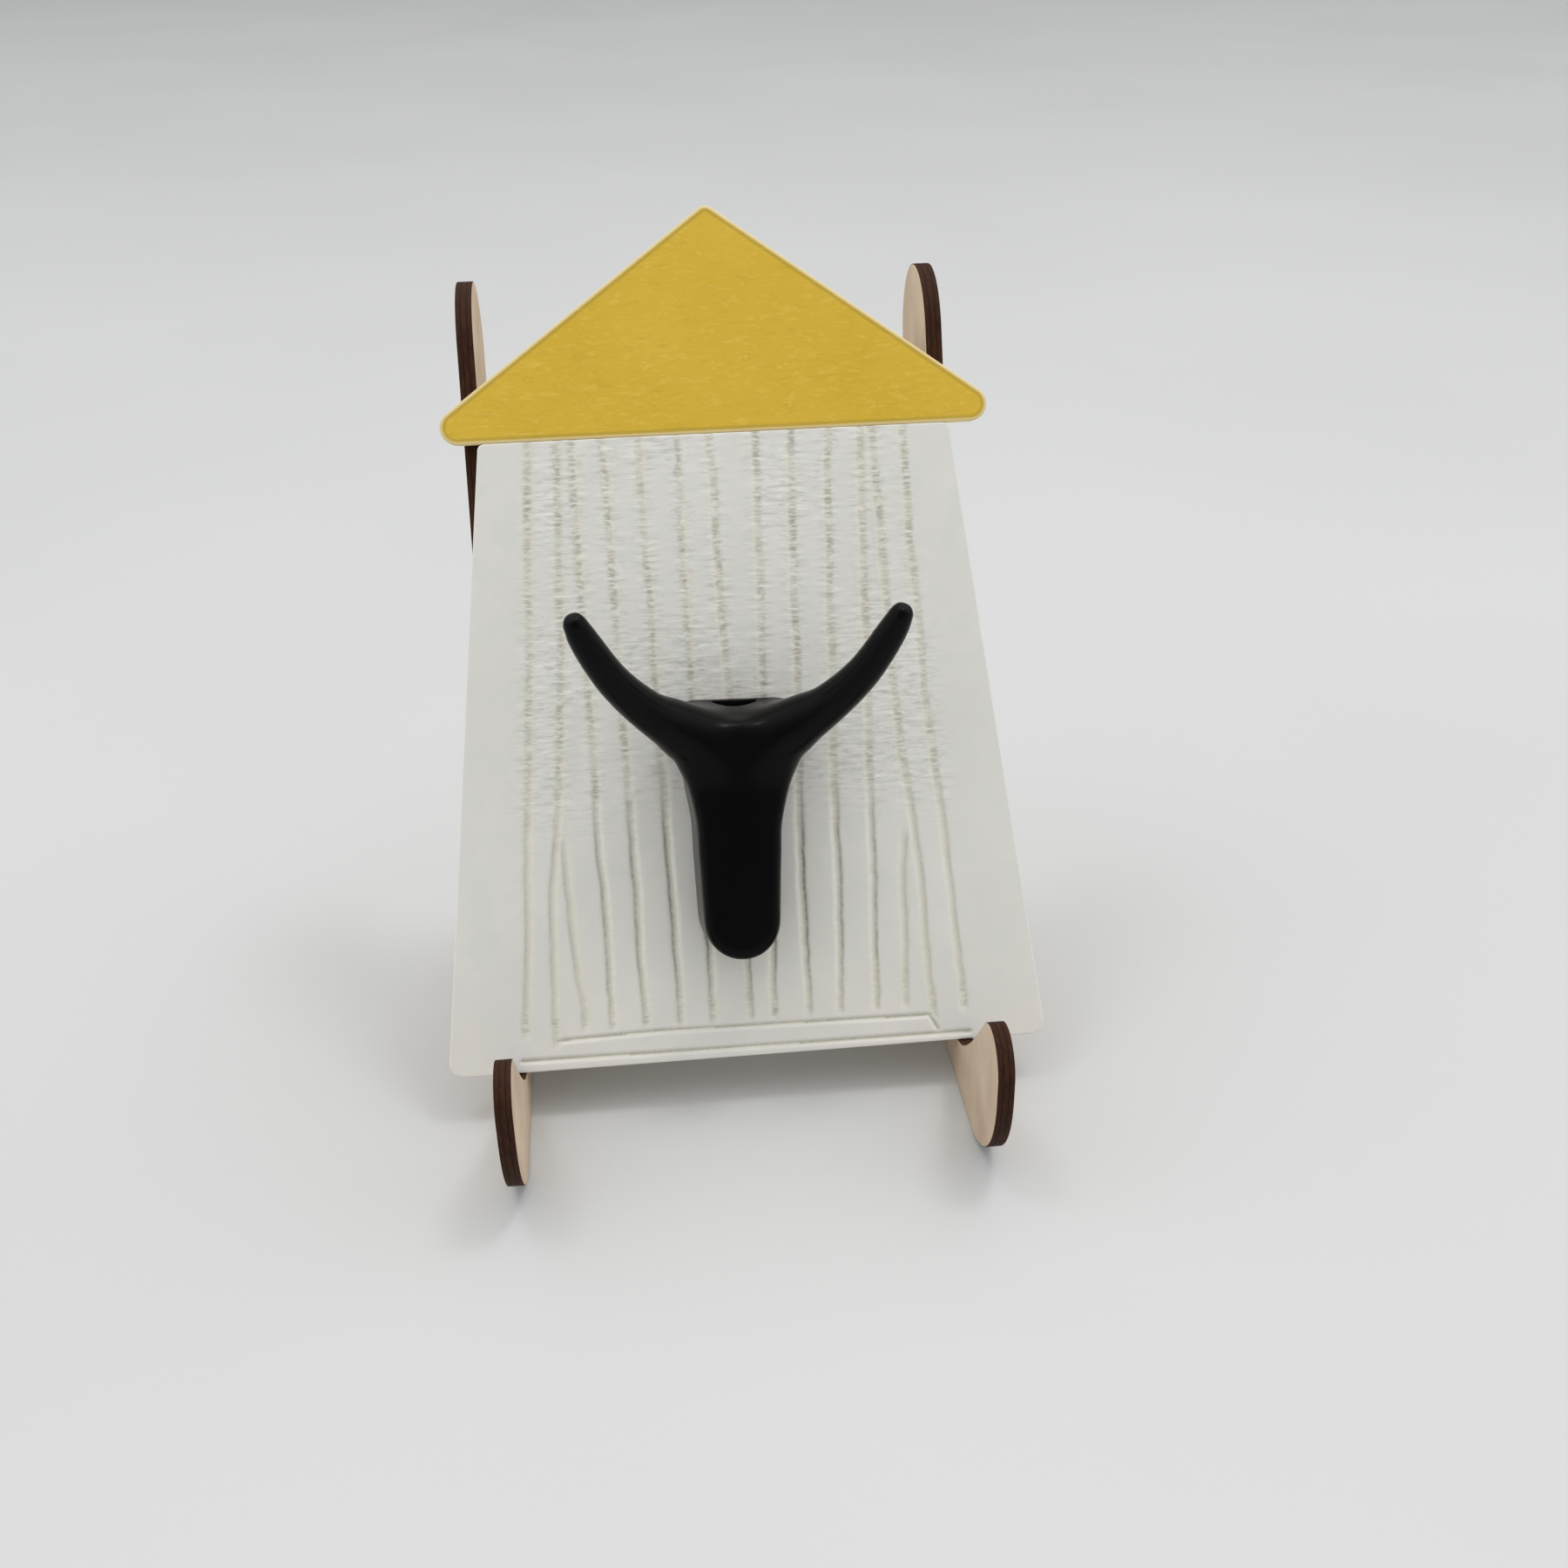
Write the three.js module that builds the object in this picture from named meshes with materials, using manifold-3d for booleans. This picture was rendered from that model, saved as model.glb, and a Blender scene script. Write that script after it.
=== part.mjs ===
// A small house-shaped hook board on a plywood stand.
// Millimetres, +Z up, +X to the right as seen from the front, +Y away from the viewer.
// The origin is on the table, in the middle of the whole thing's footprint.

import * as THREE from 'three';
import { mergeVertices } from 'three/addons/utils/BufferGeometryUtils.js';
import Module from 'manifold-3d';

const wasm = await Module();
wasm.setup();

// ---- driving dimensions -------------------------------------------------------------------------

const FIT_GAP = 0.3;                  // between pieces that touch

// the house: wall panel and roof plate, in one plane
const LEAN = THREE.MathUtils.degToRad(68);      // from the table up to the panel
const HOUSE_SHIFT = 1.7;              // the panel lies a little to the right of the stand's middle
const PANEL_FOOT_HEIGHT = 13.6;       // panel's lower front edge above the table
const PLATE_THICKNESS = 4;
const PANEL_LENGTH = 155.5;
const PANEL_HALF_FOOT = 76;
const PANEL_HALF_TOP = 57.2;
const PANEL_FOOT_RADIUS = 3.4;
const PANEL_TOP_RADIUS = 1.6;
const ROOF_HALF_WIDTH = 75;           // to the eaves' sharp corners, before rounding
const ROOF_SHIFT = 0.5;               // sideways on the wall panel
const ROOF_HEIGHT = 53.7;
const EAVE_RADIUS = 4.1;
const APEX_RADIUS = 2.6;
const STRIP_HALF_WIDTH = 48;
const STRIP_HEIGHT = 26;
const STRIP_THICKNESS = 3;

// the stand: two legs cut from plywood, and the bars through them
const PLY = 4;
const LEG_SPACING = 114;              // between the legs' middles
const TOE_SOLE_RADIUS = 29;
const TOE_SOLE_Y = -15;
const TOE_TIP_RADIUS = 9;
const TOE_TIP_Z = 34;
const ARM_WIDTH = 35;
const ARM_END = 196.8;                // along the lean, from the panel's foot
const HEEL_Y = 95;
const HEEL_HEIGHT = 30;
const CROTCH_RADIUS = 14;
const BAR_WIDTH = 20;                 // half of it is let into each leg
const BAR_PROUD = 8;                  // a bar's end past the leg's outer face
const BAR_CORNER_RADIUS = 4;
const MIDDLE_BAR_ALONG = 51;          // along the lean, from the panel's foot
const LOWER_BAR_Y = 72;

// the hook, in its own frame: x across, y up the panel, z out of the panel
const HOOK_ALONG = 62;                // its screw, up the panel
const HOOK_TWIST = THREE.MathUtils.degToRad(-1.4);
const TRUNK_STATIONS = [              // x, y, half width at the panel
  [-0.4, -24.7, 10.35],
  [-0.4, -8, 11.05],
  [-0.3, 0.6, 11.45],
  [0, 11.8, 13.6],
];
const TRUNK_DEPTH = 16.2;
const TRUNK_CROWN = 0.012;            // fall of the front towards the sides, per mm squared
const TRUNK_DRAFT = 0.077;            // how fast the sides lean in, per mm of depth
const TRUNK_EDGE_RADIUS = 1.5;
const HEAD_HALF_WIDTH = 14;           // the trunk's top, which slopes forwards
const HEAD_FOOT = 14;
const HEAD_TOP = 28.9;
const HEAD_SLOPE = 0.36;              // fall of the top per mm of depth, in the middle
const HEAD_FLARE = 0.0012;            // and how much less it falls towards the sides, per mm squared
const ARM_STATIONS = [                // x, y, z, radius
  [0, 15, 6.5, 6.6],
  [6.4, 18, 9, 6.4],
  [12.9, 21.9, 12.8, 6.15],
  [22.4, 28.8, 18.4, 4.95],
  [29.6, 36.3, 24.6, 4.25],
  [35.1, 45, 30, 3.75],
  [37.8, 50.6, 33.6, 2.8],
];
const CURVE_STEPS = 4;                // bars between one station and the next
const ARM_TIP = 0.8;                  // of the arm past its last station
const ARM_TIP_RADIUS = 1.6;
const ARM_BLEND = 7.7;                // how softly the arms run into the trunk
const SKIN_EDGE = 3;                  // triangle size of the hook's skin
const POCKET_HALF_WIDTH = 5.6;
const POCKET_BACK = 1.3;              // the wall left between the pocket and the panel ends here
const POCKET_FRONT = 5.4;
const POCKET_HEIGHT = 9;
const SCREW_RADIUS = 2;
const SCREW_BITE = 7;                 // how far the screw goes into the hook
const SCREW_HEAD_RADIUS = 4;
const SCREW_HEAD_HEIGHT = 2.6;
const WASHER_RADIUS = 6;
const WASHER_THICKNESS = 1;

// ---- materials ----------------------------------------------------------------------------------

const white = () => new THREE.MeshStandardMaterial({ color: 0xd5d4cf, roughness: 0.7 });
const gold = () => new THREE.MeshStandardMaterial({ color: 0xc9a83b, roughness: 0.55 });
const black = () => new THREE.MeshStandardMaterial({ color: 0x0d0d0e, roughness: 0.38 });
const birch = () => new THREE.MeshStandardMaterial({ color: 0xd9c3a0, roughness: 0.75 });
const steel = () => new THREE.MeshStandardMaterial({ color: 0xa8a9aa, roughness: 0.35, metalness: 1 });

// ---- solids and booleans ------------------------------------------------------------------------

// A three.js geometry as a manifold-3d solid.
function toSolid(geometry) {
  const bare = geometry.clone();
  bare.deleteAttribute('normal');
  bare.deleteAttribute('uv');
  const welded = mergeVertices(bare, 1e-5);
  return new wasm.Manifold(new wasm.Mesh({
    numProp: 3,
    vertProperties: new Float32Array(welded.attributes.position.array),
    triVerts: new Uint32Array(welded.index.array),
  }));
}

// A manifold-3d solid as a three.js geometry.
function toGeometry(solid) {
  const mesh = solid.getMesh();
  const geometry = new THREE.BufferGeometry();
  geometry.setAttribute('position', new THREE.BufferAttribute(new Float32Array(mesh.vertProperties), 3));
  geometry.setIndex(new THREE.BufferAttribute(new Uint32Array(mesh.triVerts), 1));
  geometry.computeVertexNormals();
  return geometry;
}

function part(name, geometry, material) {
  const mesh = new THREE.Mesh(geometry, material);
  mesh.name = name;
  return mesh;
}

// A box given by its middle and its size.
function box(size, middle) {
  return new THREE.BoxGeometry(...size).translate(...middle);
}

// A cylinder along z, from z0 to z1.
function post(radius, z0, z1, x = 0, y = 0) {
  const cylinder = new THREE.CylinderGeometry(radius, radius, z1 - z0, 40);
  return cylinder.rotateX(Math.PI / 2).translate(x, y, (z0 + z1) / 2);
}

// A closed outline with each corner rounded by its own radius.
function roundedOutline(corners) {
  const shape = new THREE.Shape();
  corners.forEach(({ at, radius }, i) => {
    const here = new THREE.Vector2(...at);
    const before = new THREE.Vector2(...corners.at(i - 1).at).sub(here).normalize();
    const after = new THREE.Vector2(...corners[(i + 1) % corners.length].at).sub(here).normalize();
    const half = Math.acos(before.dot(after)) / 2;
    const run = radius / Math.tan(half);
    const start = here.clone().addScaledVector(before, run);
    const centre = before.clone().add(after).normalize().multiplyScalar(radius / Math.sin(half)).add(here);
    const end = here.clone().addScaledVector(after, run);
    const from = Math.atan2(start.y - centre.y, start.x - centre.x);
    const to = Math.atan2(end.y - centre.y, end.x - centre.x);
    if (i === 0) shape.moveTo(start.x, start.y);
    else shape.lineTo(start.x, start.y);
    shape.absarc(centre.x, centre.y, radius, from, to, false);
  });
  shape.closePath();
  return shape;
}

// A flat plate whose front face is at z = 0 and whose back is at z = -thickness.
function plate(shape, thickness) {
  return new THREE.ExtrudeGeometry(shape, { depth: thickness, bevelEnabled: false, curveSegments: 10 })
    .translate(0, 0, -thickness);
}

// ---- the house ----------------------------------------------------------------------------------

function wallPanel() {
  const shape = roundedOutline([
    { at: [-PANEL_HALF_FOOT, 0], radius: PANEL_FOOT_RADIUS },
    { at: [PANEL_HALF_FOOT, 0], radius: PANEL_FOOT_RADIUS },
    { at: [PANEL_HALF_TOP, PANEL_LENGTH], radius: PANEL_TOP_RADIUS },
    { at: [-PANEL_HALF_TOP, PANEL_LENGTH], radius: PANEL_TOP_RADIUS },
  ]);
  const hole = post(SCREW_RADIUS + FIT_GAP, -PLATE_THICKNESS - 1, 1, 0, HOOK_ALONG);
  return toGeometry(toSolid(plate(shape, PLATE_THICKNESS)).subtract(toSolid(hole)));
}

function roofPlate() {
  const foot = PANEL_LENGTH + FIT_GAP;
  const shape = roundedOutline([
    { at: [-ROOF_HALF_WIDTH, foot], radius: EAVE_RADIUS },
    { at: [ROOF_HALF_WIDTH, foot], radius: EAVE_RADIUS },
    { at: [0, foot + ROOF_HEIGHT], radius: APEX_RADIUS },
  ]);
  return plate(shape, PLATE_THICKNESS).translate(ROOF_SHIFT, 0, 0);
}

function joiningStrip() {
  const z = -PLATE_THICKNESS - FIT_GAP - STRIP_THICKNESS / 2;
  return box([2 * STRIP_HALF_WIDTH, STRIP_HEIGHT, STRIP_THICKNESS], [0, PANEL_LENGTH, z]);
}

// ---- the hook -----------------------------------------------------------------------------------

// How deep a point lies inside the meeting of several depths, with its edges rounded.
function met(depths, radius) {
  const short = depths.map((depth) => radius - depth);
  const outside = Math.hypot(...short.map((d) => Math.max(d, 0)));
  return radius - outside - Math.min(Math.max(...short), 0);
}

// Two depths run together into one, with a soft fillet between the two shapes.
function blended(a, b, reach) {
  const h = Math.max(reach - Math.abs(a - b), 0) / reach;
  return Math.max(a, b) + h * h * reach / 4;
}

// The value at t, from 0 at b to 1 at c, on a smooth curve through a, b, c and d.
function between(a, b, c, d, t) {
  const square = (2 * a - 5 * b + 4 * c - d) * t * t;
  const cube = (3 * b - a - 3 * c + d) * t * t * t;
  return (2 * b + (c - a) * t + square + cube) / 2;
}

// A bar's stations with the points of a smooth curve put in between them.
function smoothed(stations) {
  const last = stations.length - 1;
  const mirrored = (end, inner) => end.map((value, k) => 2 * value - inner[k]);
  const padded = [
    mirrored(stations[0], stations[1]),
    ...stations,
    mirrored(stations[last], stations[last - 1]),
  ];
  const points = [];
  for (let step = 0; step < last * CURVE_STEPS; step += 1) {
    const i = Math.floor(step / CURVE_STEPS);
    const t = step / CURVE_STEPS - i;
    const [a, b, c, d] = padded.slice(i, i + 4);
    points.push(b.map((value, k) => between(a[k], value, c[k], d[k], t)));
  }
  return [...points, stations[last]];
}

// How deep a point lies in a tapering bar. Each station holds its middle's coordinates, then its radius.
function insideBar(point, stations) {
  let best = -Infinity;
  for (let i = 0; i + 1 < stations.length; i += 1) {
    const a = stations[i];
    const b = stations[i + 1];
    let along = 0;
    let length = 0;
    point.forEach((value, k) => {
      along += (value - a[k]) * (b[k] - a[k]);
      length += (b[k] - a[k]) ** 2;
    });
    const t = THREE.MathUtils.clamp(along / length, 0, 1);
    const away = Math.hypot(...point.map((value, k) => value - THREE.MathUtils.lerp(a[k], b[k], t)));
    best = Math.max(best, THREE.MathUtils.lerp(a.at(-1), b.at(-1), t) - away);
  }
  return best;
}

// An arm: round, and blunt at its tip.
function insideArm(point, stations) {
  const [before, tip] = stations.slice(-2).map(([x, y, z]) => new THREE.Vector3(x, y, z));
  const outwards = tip.clone().sub(before).normalize();
  const past = new THREE.Vector3(...point).sub(tip).dot(outwards);
  return met([insideBar(point, stations), ARM_TIP - past], ARM_TIP_RADIUS);
}

// The trunk: a stem with drafted sides and a crowned front, ending in a head between the arms.
function insideTrunk([x, y, z], stations) {
  const stem = insideBar([x, y], stations) - TRUNK_DRAFT * z;
  const slope = HEAD_SLOPE - HEAD_FLARE * x * x;
  const underTop = (HEAD_TOP - y - slope * z) / Math.hypot(1, slope);
  const head = Math.min(HEAD_HALF_WIDTH - Math.abs(x), underTop, y - HEAD_FOOT);
  const front = TRUNK_DEPTH - TRUNK_CROWN * x * x - z;
  return met([Math.max(stem, head), front], TRUNK_EDGE_RADIUS);
}

function hookSkin() {
  const arm = smoothed(ARM_STATIONS);
  const trunk = smoothed(TRUNK_STATIONS);
  const inside = ([x, y, z]) => {
    const armDepth = insideArm([Math.abs(x), y, z], arm);
    return blended(armDepth, insideTrunk([x, y, z], trunk), ARM_BLEND);
  };
  const bounds = { min: [-46, -42, -6], max: [46, 60, 42] };
  return wasm.Manifold.levelSet(inside, bounds, SKIN_EDGE);
}

// The hollow in the head, with a flat back and a round front.
function pocket() {
  const shape = new THREE.Shape();
  shape.absellipse(0, 0, POCKET_HALF_WIDTH, POCKET_FRONT - POCKET_BACK, 0, Math.PI, false);
  shape.closePath();
  const depth = 2 * POCKET_HEIGHT;
  return new THREE.ExtrudeGeometry(shape, { depth, bevelEnabled: false, curveSegments: 20 })
    .rotateX(Math.PI / 2)
    .translate(0, HEAD_TOP + POCKET_HEIGHT, POCKET_BACK);
}

function hook() {
  const big = 200;
  const behindPanelFace = toSolid(box([big, big, big], [0, 0, FIT_GAP - big / 2]));
  const pilot = post(SCREW_RADIUS + FIT_GAP, -1, SCREW_BITE + 2 * FIT_GAP);
  const cuts = [behindPanelFace, toSolid(pocket()), toSolid(pilot)];
  return toGeometry(cuts.reduce((solid, cut) => solid.subtract(cut), hookSkin()));
}

function hookScrew() {
  const back = -PLATE_THICKNESS - 2 * FIT_GAP - WASHER_THICKNESS;
  const points = [
    [0, back - SCREW_HEAD_HEIGHT],
    [SCREW_HEAD_RADIUS * 0.6, back - SCREW_HEAD_HEIGHT],
    [SCREW_HEAD_RADIUS * 0.9, back - SCREW_HEAD_HEIGHT * 0.75],
    [SCREW_HEAD_RADIUS, back - SCREW_HEAD_HEIGHT * 0.4],
    [SCREW_HEAD_RADIUS, back - FIT_GAP],
    [SCREW_RADIUS, back - FIT_GAP],
    [SCREW_RADIUS, SCREW_BITE - 1],
    [SCREW_RADIUS - 1, SCREW_BITE],
    [0, SCREW_BITE],
  ].map(([r, z]) => new THREE.Vector2(r, z));
  return new THREE.LatheGeometry(points, 32).rotateX(Math.PI / 2);
}

function hookWasher() {
  const front = -PLATE_THICKNESS - FIT_GAP;
  const disc = toSolid(post(WASHER_RADIUS, front - WASHER_THICKNESS, front));
  const hole = post(SCREW_RADIUS + FIT_GAP, front - WASHER_THICKNESS - 1, front + 1);
  return toGeometry(disc.subtract(toSolid(hole)));
}

// ---- the stand ----------------------------------------------------------------------------------

// A point of the leaning frame, along the lean and out of the panel's front, as (y, z).
function leaning(along, out) {
  return new THREE.Vector2(
    along * Math.cos(LEAN) - out * Math.sin(LEAN),
    PANEL_FOOT_HEIGHT + along * Math.sin(LEAN) + out * Math.cos(LEAN),
  );
}

// The leg's side outline, walked from the heel's sole towards the toe and round.
function legShape() {
  const seat = -FIT_GAP;
  const armFront = -PLATE_THICKNESS - FIT_GAP;
  const armBack = armFront - ARM_WIDTH;
  const armMiddle = (armFront + armBack) / 2;
  const tip = new THREE.Vector2(TOE_SOLE_Y - TOE_SOLE_RADIUS + TOE_TIP_RADIUS, TOE_TIP_Z);
  const tipEnd = THREE.MathUtils.degToRad(38);
  const offTip = new THREE.Vector2(Math.cos(tipEnd), Math.sin(tipEnd));
  offTip.multiplyScalar(TOE_TIP_RADIUS).add(tip);
  const seatFront = leaning(seat, 2);
  const seatBack = leaning(seat, armFront);
  const swoosh = new THREE.Vector2(-10.1, 17.4);
  const armTop = leaning(ARM_END - ARM_WIDTH / 2, armMiddle);
  const heelRadius = HEEL_HEIGHT / 2;

  const shape = new THREE.Shape();
  shape.moveTo(HEEL_Y - heelRadius, 0);
  shape.lineTo(TOE_SOLE_Y, 0);
  shape.absarc(TOE_SOLE_Y, TOE_SOLE_RADIUS, TOE_SOLE_RADIUS, -Math.PI / 2, -Math.PI, true);
  shape.absarc(tip.x, tip.y, TOE_TIP_RADIUS, Math.PI, tipEnd, true);
  shape.lineTo(offTip.x, offTip.y);
  shape.quadraticCurveTo(swoosh.x, swoosh.y, seatFront.x, seatFront.y);
  shape.lineTo(seatBack.x, seatBack.y);
  shape.absarc(armTop.x, armTop.y, ARM_WIDTH / 2, LEAN + Math.PI / 2, LEAN - Math.PI / 2, true);

  // the crotch between the arm's back and the foot's top
  const crotchZ = HEEL_HEIGHT + CROTCH_RADIUS;
  const outOfArm = armBack - CROTCH_RADIUS;
  const alongAtCrotch = (crotchZ - PANEL_FOOT_HEIGHT - outOfArm * Math.cos(LEAN)) / Math.sin(LEAN);
  const crotch = leaning(alongAtCrotch, outOfArm);
  shape.absarc(crotch.x, crotch.y, CROTCH_RADIUS, LEAN + Math.PI / 2, 3 * Math.PI / 2, false);
  shape.absarc(HEEL_Y - heelRadius, heelRadius, heelRadius, Math.PI / 2, -Math.PI / 2, true);
  return shape;
}

// The middles of the two bars' front or lower halves, as (y, z), and the direction of each bar's width.
const middleBar = {
  at: leaning(MIDDLE_BAR_ALONG, -PLATE_THICKNESS - FIT_GAP - ARM_WIDTH + BAR_WIDTH / 2),
  outwards: LEAN - Math.PI / 2,
};
const lowerBar = {
  at: new THREE.Vector2(LOWER_BAR_Y, HEEL_HEIGHT - BAR_WIDTH / 2),
  outwards: Math.PI / 2,
};

// The leg's plywood stands in the YZ plane, centred on x, with an open slot for each bar.
function leg(x) {
  const extrusion = { depth: PLY, bevelEnabled: false, curveSegments: 20 };
  const geometry = new THREE.ExtrudeGeometry(legShape(), extrusion);
  const toYZ = new THREE.Matrix4().makeBasis(
    new THREE.Vector3(0, 1, 0),
    new THREE.Vector3(0, 0, 1),
    new THREE.Vector3(1, 0, 0),
  );
  let solid = toSolid(geometry.applyMatrix4(toYZ).translate(x - PLY / 2, 0, 0));
  [middleBar, lowerBar].forEach(({ at, outwards }) => {
    const depth = BAR_WIDTH;
    const slot = box([2 * PLY, depth, PLY + 2 * FIT_GAP], [0, depth / 2 - FIT_GAP, 0])
      .rotateX(outwards)
      .translate(x, at.x, at.y);
    solid = solid.subtract(toSolid(slot));
  });
  return toGeometry(solid);
}

// A bar in its own frame: x along, y its width from the slotted edge outwards, z its thickness.
function crossBar() {
  const half = LEG_SPACING / 2 + PLY / 2 + BAR_PROUD;
  const shape = roundedOutline([
    { at: [-half, -BAR_WIDTH / 2], radius: BAR_CORNER_RADIUS },
    { at: [half, -BAR_WIDTH / 2], radius: BAR_CORNER_RADIUS },
    { at: [half, BAR_WIDTH / 2], radius: BAR_CORNER_RADIUS },
    { at: [-half, BAR_WIDTH / 2], radius: BAR_CORNER_RADIUS },
  ]);
  let solid = toSolid(plate(shape, PLY).translate(0, 0, PLY / 2));
  [-1, 1].forEach((side) => {
    const slot = box(
      [PLY + 2 * FIT_GAP, BAR_WIDTH, 2 * PLY],
      [side * LEG_SPACING / 2, FIT_GAP - BAR_WIDTH / 2, 0],
    );
    solid = solid.subtract(toSolid(slot));
  });
  return toGeometry(solid);
}

// ---- the assembly -------------------------------------------------------------------------------

const board = new THREE.Group();

const hookGroup = new THREE.Group();
hookGroup.position.set(0, HOOK_ALONG, 0);
hookGroup.rotation.z = HOOK_TWIST;
hookGroup.add(
  part('hook', hook(), black()),
  part('hook_screw', hookScrew(), steel()),
  part('hook_washer', hookWasher(), steel()),
);

const house = new THREE.Group();
house.position.set(HOUSE_SHIFT, 0, PANEL_FOOT_HEIGHT);
house.rotation.x = LEAN;
house.add(
  part('wall_panel', wallPanel(), white()),
  part('roof_plate', roofPlate(), gold()),
  part('joining_strip', joiningStrip(), birch()),
  hookGroup,
);

const stand = new THREE.Group();
stand.add(
  part('left_leg', leg(-LEG_SPACING / 2), birch()),
  part('right_leg', leg(LEG_SPACING / 2), birch()),
);
[['middle_cross_bar', middleBar], ['lower_cross_bar', lowerBar]].forEach(([name, { at, outwards }]) => {
  const bar = part(name, crossBar(), birch());
  bar.position.set(0, at.x, at.y);
  bar.rotation.x = outwards;
  stand.add(bar);
});

board.add(stand, house);

const bounds = new THREE.Box3().setFromObject(board);
const middle = bounds.getCenter(new THREE.Vector3());
board.position.set(-middle.x, -middle.y, 0);
board.updateMatrixWorld(true);

export default board;
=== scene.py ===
import math

import bmesh
import bpy
import numpy as np
from mathutils import Matrix, Vector


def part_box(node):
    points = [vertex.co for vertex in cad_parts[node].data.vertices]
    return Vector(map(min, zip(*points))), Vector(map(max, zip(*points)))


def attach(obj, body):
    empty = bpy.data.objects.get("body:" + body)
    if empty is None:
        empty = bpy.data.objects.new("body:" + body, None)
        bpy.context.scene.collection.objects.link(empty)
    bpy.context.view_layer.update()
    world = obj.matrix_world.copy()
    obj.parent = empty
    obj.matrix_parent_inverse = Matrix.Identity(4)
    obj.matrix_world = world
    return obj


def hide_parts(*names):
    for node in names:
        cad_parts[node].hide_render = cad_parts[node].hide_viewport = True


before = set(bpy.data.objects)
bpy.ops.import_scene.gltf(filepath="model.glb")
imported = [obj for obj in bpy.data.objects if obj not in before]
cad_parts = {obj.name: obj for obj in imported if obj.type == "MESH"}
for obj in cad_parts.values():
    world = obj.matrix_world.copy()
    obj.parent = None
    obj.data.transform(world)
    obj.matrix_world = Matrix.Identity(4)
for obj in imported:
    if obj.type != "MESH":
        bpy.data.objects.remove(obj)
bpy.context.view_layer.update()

MM = 0.001

# ---- the object's own dimensions, in millimetres ------------------------------------------------

LEAN = math.radians(68)
PLATE = 4.0
FIT_GAP = 0.3
PANEL_LENGTH = 155.5
PANEL_HALF_FOOT = 76.0
PANEL_HALF_TOP = 57.2
PANEL_FOOT_RADIUS = 3.4
PANEL_TOP_RADIUS = 1.6
ROOF_HALF_WIDTH = 75.0
ROOF_SHIFT = 0.5
ROOF_HEIGHT = 53.7
EAVE_RADIUS = 4.1
APEX_RADIUS = 2.6
HOOK_ALONG = 62.0
HOOK_TWIST = math.radians(-1.4)
SCREW_RADIUS = 2.0
SCREW_BITE = 7.0           # how far the screw's point reaches past the panel's face
SCREW_POINT = 1.0
SCREW_HEAD_RADIUS = 4.0
SCREW_HEAD_HEIGHT = 2.6
SCREW_HEAD_CROWN = 1.6
SCREW_HEAD_EASE = 0.15
SCREW_CROSS = (4.2, 0.8, 2.4)
SCREW_CROSS_TURN = 0.5
SCREW_CROSS_LEVEL = 2.2
WASHER_RADIUS = 6.0
WASHER_THICKNESS = 1.0
WASHER_EASE = 0.2

# the plank lines pressed into the wall panel: (height, sideways) points, from the top down
PLANK_LINES = [
    [(156, -45.4), (101, -48.5), (72.6, -51.0), (9, -55.9)],
    [(156, -38.1), (100, -40.6), (68, -43.7), (43.5, -46.9), (6, -48.4)],
    [(156, -34.9), (60, -34.6), (16, -34.0)],
    [(60, -43.6), (43, -43.0), (16, -41.4)],
    [(156, -27.2), (84, -26.8), (16, -26.0)],
    [(156, -18.6), (84, -18.0), (16, -17.2)],
    [(156, -9.5), (84, -9.3), (16, -8.8)],
    [(156, -1.9), (84, -0.6), (15, 0.2)],
    [(156, 9.3), (84, 7.8), (13, 6.3)],
    [(156, 18.2), (93, 16.4), (45, 15.3), (12, 14.9)],
    [(156, 26.9), (84, 25.0), (12, 23.3)],
    [(156, 35.0), (87, 34.0), (44, 33.1), (11, 32.3)],
    [(56, 41.6), (43, 40.5), (10.5, 40.1)],
    [(156, 37.9), (127, 39.0), (92, 40.7), (77, 41.5), (64, 43.1), (43, 45.0), (16, 46.3), (6, 47.6)],
    [(156, 45.6), (127, 46.5), (91, 48.3), (64, 50.8), (42, 52.7), (8, 54.8)],
]
# the rail's lines along the foot: (sideways, height) points, from left to right
RAIL_LINES = [
    [(-48.3, 7.5), (-22.4, 8.2), (18.8, 7.5), (46.0, 7.0)],
    [(46.0, 7.0), (48.1, 3.1)],
    [(-57.5, 2.9), (0, 2.4), (56.2, 1.9)],
]
LINE_HALF_WIDTH = 1.1
LINE_DEPTH = 0.32
LINE_FOOT = 9.5            # where the lines between the posts die out
OUTER_LINES = 38.0         # lines further out than this are faint
PUCKER_FROM = 50.0         # up the panel, where the pressed lines turn rough
PUCKER_FULL = 76.0
PUCKER_REACH = 2.9
WALL_SHADE_OFFSET = 0.8        # the painted shade and the painted highlight lie on a line's two sides
WALL_HIGHLIGHT_OFFSET = 0.85
RAIL_HALF_WIDTH = 0.6
RAIL_HIGHLIGHT_OFFSET = 0.75

TRUNK_STATIONS = [         # x, y, half width at the panel
    (-0.4, -24.7, 10.35),
    (-0.4, -8.0, 11.05),
    (-0.3, 0.6, 11.45),
    (0.0, 11.8, 13.6),
]
TRUNK_DEPTH = 16.2
TRUNK_CROWN = 0.012
TRUNK_DRAFT = 0.077
TRUNK_EDGE_RADIUS = 1.5
HEAD_HALF_WIDTH = 15.5
HEAD_FOOT = 19.0
HEAD_TOP = 28.9
HEAD_SLOPE = 0.36
HEAD_FLARE = 0.0012
ARM_STATIONS = [           # x, y, z, radius
    (0.0, 15.0, 6.5, 6.6),
    (6.4, 18.0, 9.0, 6.4),
    (12.9, 21.9, 12.8, 6.15),
    (22.4, 28.8, 18.4, 4.95),
    (29.6, 36.3, 24.6, 4.25),
    (35.1, 45.0, 30.0, 3.75),
    (37.8, 50.6, 33.6, 2.8),
]
CURVE_STEPS = 4
ARM_TIP = 0.8
ARM_TIP_RADIUS = 1.6
ARM_BLEND = 7.7
POCKET_HALF_WIDTH = 5.6
POCKET_BACK = 1.3
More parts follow.
